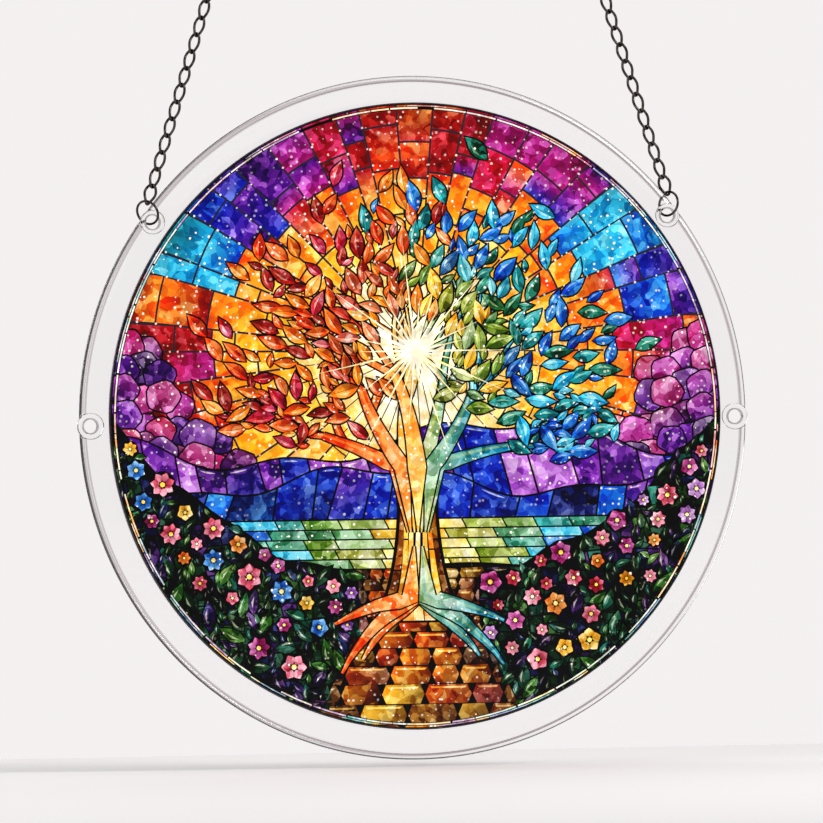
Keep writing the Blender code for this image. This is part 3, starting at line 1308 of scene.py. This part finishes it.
def make_set():
    """A pale table that ends behind the disc, and a wall so far off that the disc's back shows too."""
    top = CENTRE_Z - DISC_RADIUS - TABLE_DROP
    heights = (top - TABLE_THICK, top)
    ends = (TABLE_NEAR, TABLE_FAR)
    corners = [(x, y, z) for z in heights for y in ends for x in (-TABLE_REACH, TABLE_REACH)]
    sides = [(0, 2, 3, 1), (4, 5, 7, 6), (0, 1, 5, 4), (2, 6, 7, 3), (0, 4, 6, 2), (1, 3, 7, 5)]
    table = new_object("table", corners, sides)
    table.data.materials.append(set_material("pale_table", (0.86, 0.84, 0.84), 0.12))
    corners = [(x * WALL_REACH, WALL_Y, z * WALL_REACH) for x, z in ((-1, -1), (1, -1), (1, 1), (-1, 1))]
    wall = new_object("wall", corners, [(0, 1, 2, 3)])
    wall.data.materials.append(set_material("pale_wall", (0.96, 0.93, 0.935), 0.74))


def add_area_light(name, place, target, size, power, color):
    data = bpy.data.lights.new(name, "AREA")
    data.size = size
    data.energy = power
    data.color = color
    lamp = in_scene(name, data)
    lamp.location = place
    lamp.rotation_mode = "QUATERNION"
    lamp.rotation_quaternion = (Vector(target) - Vector(place)).to_track_quat("-Z", "Y")


def make_light():
    """Large soft lamps in a dim room, whose dim parts draw the edges of the clear acrylic."""
    target = (0.0, 0.0, CENTRE_Z * MM)
    add_area_light("key", (1.05, -0.95, 0.45), target, 0.7, 14.0, (1.0, 0.985, 0.98))
    add_area_light("fill", (-1.1, -0.9, -0.1), target, 0.9, 6.5, (0.99, 0.985, 1.0))
    add_area_light("top", (0.1, 0.0, 0.75), (0.0, 0.1, CENTRE_Z * MM), 0.9, 5.0, (1.0, 0.99, 0.99))
    add_area_light("back", (-1.1, 1.1, 0.2), target, 0.8, 5.0, (1.0, 0.985, 0.98))
    world = bpy.data.worlds.new("dim_room")
    world.use_nodes = True
    sky = world.node_tree.nodes["Background"]
    sky.inputs["Color"].default_value = (1.0, 0.98, 0.98, 1.0)
    sky.inputs["Strength"].default_value = 0.2
    bpy.context.scene.world = world
    bpy.context.scene.view_settings.view_transform = "Standard"


def make_camera():
    """A long lens, a little to the left of the disc's axis, rolled as the photo is."""
    data = bpy.data.cameras.new("camera")
    camera = in_scene("camera", data)
    bpy.context.scene.camera = camera
    across = PIXELS * MM_PER_PIXEL * MM
    data.sensor_width = SENSOR
    data.lens = SENSOR * CAMERA_DISTANCE / across
    data.clip_start = 0.1
    data.clip_end = 50.0
    back = Vector((sin(CAMERA_YAW), -cos(CAMERA_YAW), 0.0))
    view = (-back).to_track_quat("-Z", "Y").to_matrix()
    roll = Matrix.Rotation(-CAMERA_ROLL, 3, "Z")
    turn = view @ roll
    offset_x = (PIXELS / 2 - DISC_PIXEL[0]) * MM_PER_PIXEL * MM
    offset_y = (DISC_PIXEL[1] - PIXELS / 2) * MM_PER_PIXEL * MM
    centre = Vector((0.0, 0.0, CENTRE_Z * MM))
    camera.location = centre + back * CAMERA_DISTANCE + turn @ Vector((offset_x, offset_y, 0.0))
    camera.rotation_mode = "QUATERNION"
    camera.rotation_quaternion = turn.to_quaternion()


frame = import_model()
# The first glass is clear. The other three are darker tints as painted shade: on the disc's steep edge faces,
# on the walls of the holes, and along the line where the bevel begins.
glasses = (
    clear_acrylic("clear_acrylic", (1.0, 1.0, 1.0), 0.015),
    clear_acrylic("acrylic_edge_painted_shade", (0.62, 0.58, 0.58), 0.04),
    clear_acrylic("acrylic_bore_painted_shade", (0.26, 0.24, 0.25), 0.08),
    clear_acrylic("acrylic_line_painted_shade", (0.42, 0.38, 0.39), 0.04),
)
metal = dark_metal()
hanging_centre = (0.0, 0.0, -RING_HOLE_RADIUS)
hanging_radius = RING_HOLE_RADIUS + RING_WIRE / 2
facing = (0.0, 1.0, 0.0)
made = [
    make_clear_disc(glasses),
    make_jump_ring("left", metal),
    make_jump_ring("right", metal),
    make_ring("hanging_ring_wire", "hanging_ring", hanging_centre, facing, hanging_radius, RING_WIRE, metal),
    make_picture_disc(printed_face(), print_edge()),
    make_chain_run("left", metal),
    make_chain_run("right", metal),
]
for piece in made:
    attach(piece, "root")
    SLOTS.get(piece.name, "dark_metal")
make_set()
make_light()
make_camera()
